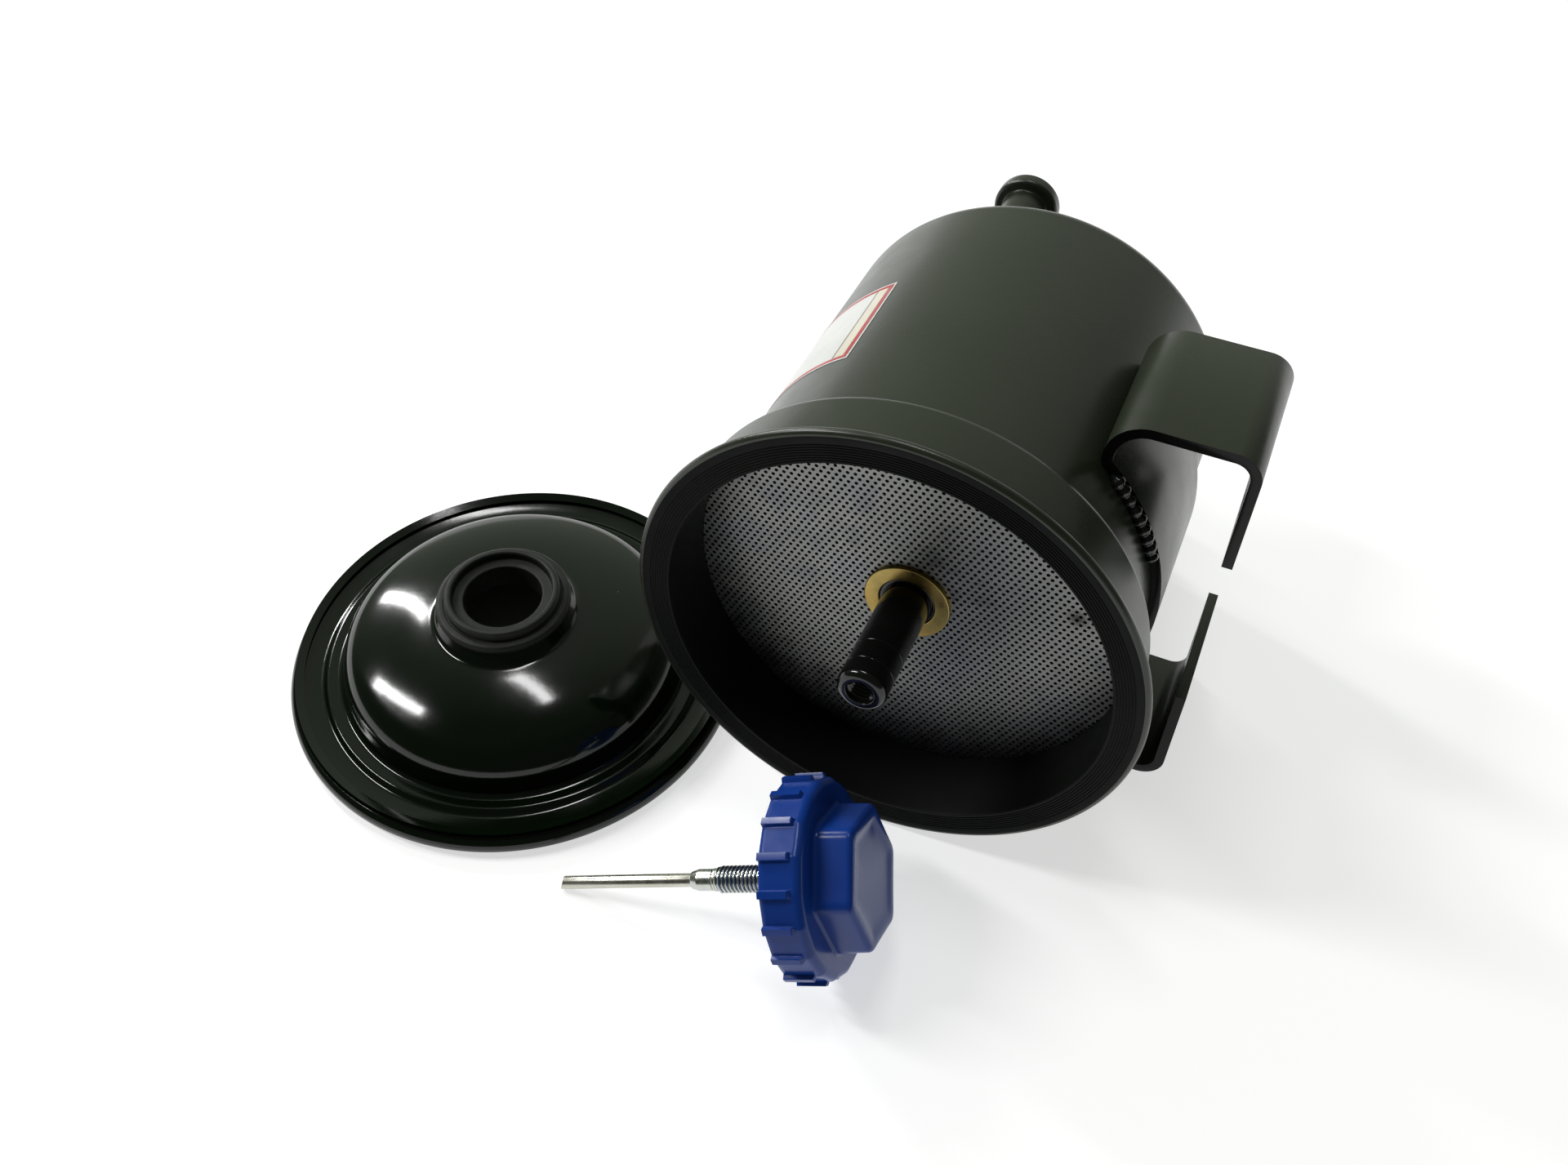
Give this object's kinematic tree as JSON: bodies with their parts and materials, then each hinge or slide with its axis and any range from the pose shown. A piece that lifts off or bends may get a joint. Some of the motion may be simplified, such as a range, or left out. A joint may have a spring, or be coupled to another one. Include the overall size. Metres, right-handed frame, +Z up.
{
  "type": "power steering reservoir",
  "caption": "Dark steel oil reservoir laid apart: open can on its side with strainer, post and strap, pressed lid with rubber grommet, blue filler knob with dipstick.",
  "frame": {"origin": "centre of the bounding box on the floor that the laid-out pieces rest on", "axes": "+Z up from the floor, +X to the right of the viewer, +Y away from the viewer, towards the closed end of the can"},
  "size_m": [0.3082, 0.2476, 0.1495],
  "materials": {
    "dark_paint": "satin, black with a green cast",
    "gloss_paint": "gloss black with a green cast",
    "strainer_steel": "dull grey plated sheet",
    "yellow_zinc": "yellow passivated steel",
    "zinc_steel": "bright zinc plated",
    "filter_paper": "matt",
    "black_rubber": "matt",
    "label_film": "printed film, bare",
    "blue_plastic": "glossy royal blue"
  },
  "bodies": {
    "reservoir": {"can_end": "dark_paint", "can_body": "dark_paint", "can_collar": "dark_paint", "mouth_ring": "dark_paint", "mount_strap": "dark_paint", "strap_welds": "dark_paint", "return_port": "dark_paint", "suction_port": "dark_paint", "port_welds": "dark_paint", "centre_post": "gloss_paint", "post_foot": "dark_paint", "strainer_disc": "strainer_steel", "strainer_washer": "yellow_zinc", "pack_spring": "zinc_steel", "spring_seat": "zinc_steel", "post_clip": "zinc_steel", "label": "label_film", "lid_shell": "gloss_paint", "lid_gasket": "black_rubber", "grommet": "black_rubber", "knob_grip": "blue_plastic", "knob_stud": "zinc_steel", "dipstick": "zinc_steel", "knob_seal": "black_rubber"},
    "filter_pack": {"pack_base": "zinc_steel", "filter_paper": "filter_paper", "filter_core": "zinc_steel", "pack_cap": "zinc_steel", "pack_seal": "black_rubber"}
  },
  "joints": [
    {"name": "bypass_slide", "type": "slide", "parent": "reservoir", "child": "filter_pack", "axis": [0.4022, 0.912, -0.0808], "range_m": [0, 0.006], "stiffness_N_per_m": 3000, "springref_m": -0.004, "deforming": ["pack_spring"]}
  ]
}
